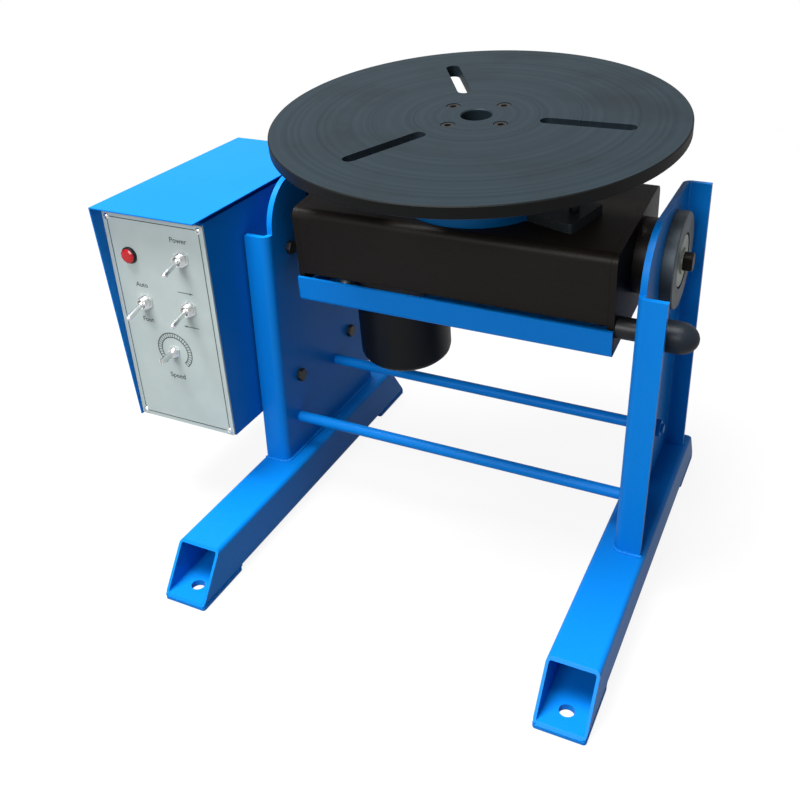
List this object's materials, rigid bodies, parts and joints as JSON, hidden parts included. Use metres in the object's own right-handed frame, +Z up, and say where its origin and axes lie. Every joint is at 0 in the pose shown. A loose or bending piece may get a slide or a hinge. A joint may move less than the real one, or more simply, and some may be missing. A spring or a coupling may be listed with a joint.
{
  "type": "welding positioner",
  "caption": "Bench welding positioner: slotted round table turned by a gear motor in a tilting housing between two channel uprights on tube feet, with a control box at one side.",
  "frame": {"origin": "on the floor, at the centre of the four floor-bolt holes", "axes": "+X along the tilt axis, from the control box towards the clamp knob; +Y to the back; +Z up"},
  "size_m": [0.5801, 0.4916, 0.4653],
  "materials": {
    "blue_paint": "satin",
    "black_paint": "satin",
    "motor_paint": "satin",
    "table_steel": "turned",
    "bright_steel": "machined",
    "zinc_steel": "plated",
    "black_steel": "oxide black",
    "chrome_plate": "polished",
    "bronze": "machined",
    "cast_aluminium": "cast",
    "panel_sheet": "matte",
    "red_lens": "polished",
    "switch_plastic": "moulded",
    "black_plastic": "moulded",
    "circuit_board": "coated",
    "winding_varnish": "varnished"
  },
  "bodies": {
    "frame": {"left_foot": "blue_paint", "right_foot": "blue_paint", "foot_pads": "blue_paint", "left_upright": "blue_paint", "right_upright": "blue_paint", "front_tie_rod": "blue_paint", "rear_tie_rod": "blue_paint", "tie_rod_nuts": "blue_paint", "left_bearing_disc": "black_steel", "right_bearing_disc": "black_steel", "bearing_disc_screws": "black_steel", "tilt_bushes": "bronze", "box_chassis": "blue_paint", "box_hood": "blue_paint", "control_panel": "panel_sheet", "panel_screws": "bright_steel", "box_bolts": "zinc_steel", "box_spacers": "zinc_steel", "lamp_bezel": "bright_steel", "lamp_lens": "red_lens", "switch_bodies": "switch_plastic", "panel_nuts": "chrome_plate", "speed_control_body": "zinc_steel", "drive_board": "circuit_board", "transformer": "winding_varnish", "cable_glands": "black_plastic"},
    "power_lever": {"power_switch_lever": "chrome_plate"},
    "mode_lever": {"mode_switch_lever": "chrome_plate"},
    "direction_lever": {"direction_switch_lever": "chrome_plate"},
    "speed_shaft": {"speed_control_shaft": "bright_steel"},
    "tilt_body": {"tilt_housing": "black_paint", "left_end_plate": "black_paint", "right_end_plate": "black_paint", "left_trunnion": "bright_steel", "right_trunnion": "bright_steel", "trunnion_bolts": "zinc_steel", "retaining_washers": "bright_steel", "base_plate": "black_paint", "tray": "blue_paint", "tray_screws": "black_steel", "spindle_housing": "blue_paint", "spindle_housing_bolts": "zinc_steel", "bearing_outer_rings": "bright_steel", "gearhead": "cast_aluminium", "motor_body": "motor_paint", "motor_end_cap": "motor_paint", "motor_bolts": "zinc_steel", "earth_brush_holder": "bronze", "earth_brush": "bronze", "earth_terminal": "bright_steel", "clamp_stud": "bright_steel", "clamp_washer": "zinc_steel"},
    "table_body": {"table": "table_steel", "table_bolts": "black_steel", "spindle": "bright_steel", "spindle_lock_nut": "bright_steel", "table_gear": "bright_steel", "bearing_inner_rings": "bright_steel"},
    "pinion": {"drive_pinion": "bright_steel"},
    "clamp_knob": {"clamp_knob": "black_plastic"}
  },
  "joints": [
    {"name": "tilt", "type": "hinge", "parent": "frame", "child": "tilt_body", "pos_m": [0, 0.0725, 0.32], "axis": [1, 0, 0], "range_deg": [-6.2, 83.8]},
    {"name": "table_spin", "type": "hinge", "parent": "tilt_body", "child": "table_body", "pos_m": [0, 0.06602, 0.37965], "axis": [0, -0.108, 0.9942], "continuous": true},
    {"name": "pinion_spin", "type": "hinge", "parent": "tilt_body", "child": "pinion", "pos_m": [-0.08653, 0.05731, 0.31131], "axis": [0, -0.108, 0.9942], "continuous": true},
    {"name": "clamp_turn", "type": "hinge", "parent": "tilt_body", "child": "clamp_knob", "pos_m": [0.215, -0.00446, 0.27844], "axis": [1, 0, 0], "range_deg": [-180, 180]},
    {"name": "power_toggle", "type": "hinge", "parent": "frame", "child": "power_lever", "pos_m": [-0.247, -0.10714, 0.31803], "axis": [1, 0, 0], "range_deg": [-26, 0]},
    {"name": "mode_toggle", "type": "hinge", "parent": "frame", "child": "mode_lever", "pos_m": [-0.303, -0.10473, 0.26058], "axis": [1, 0, 0], "range_deg": [-26, 0]},
    {"name": "direction_toggle", "type": "hinge", "parent": "frame", "child": "direction_lever", "pos_m": [-0.248, -0.1048, 0.26208], "axis": [1, 0, 0], "range_deg": [-26, 0]},
    {"name": "speed_turn", "type": "hinge", "parent": "frame", "child": "speed_shaft", "pos_m": [-0.277, -0.10543, 0.2055], "axis": [0, -0.9991, -0.0419], "range_deg": [-150, 150]}
  ],
  "couplings": [
    {"joint": "pinion_spin", "follows": "table_spin", "ratio": -1.75}
  ]
}
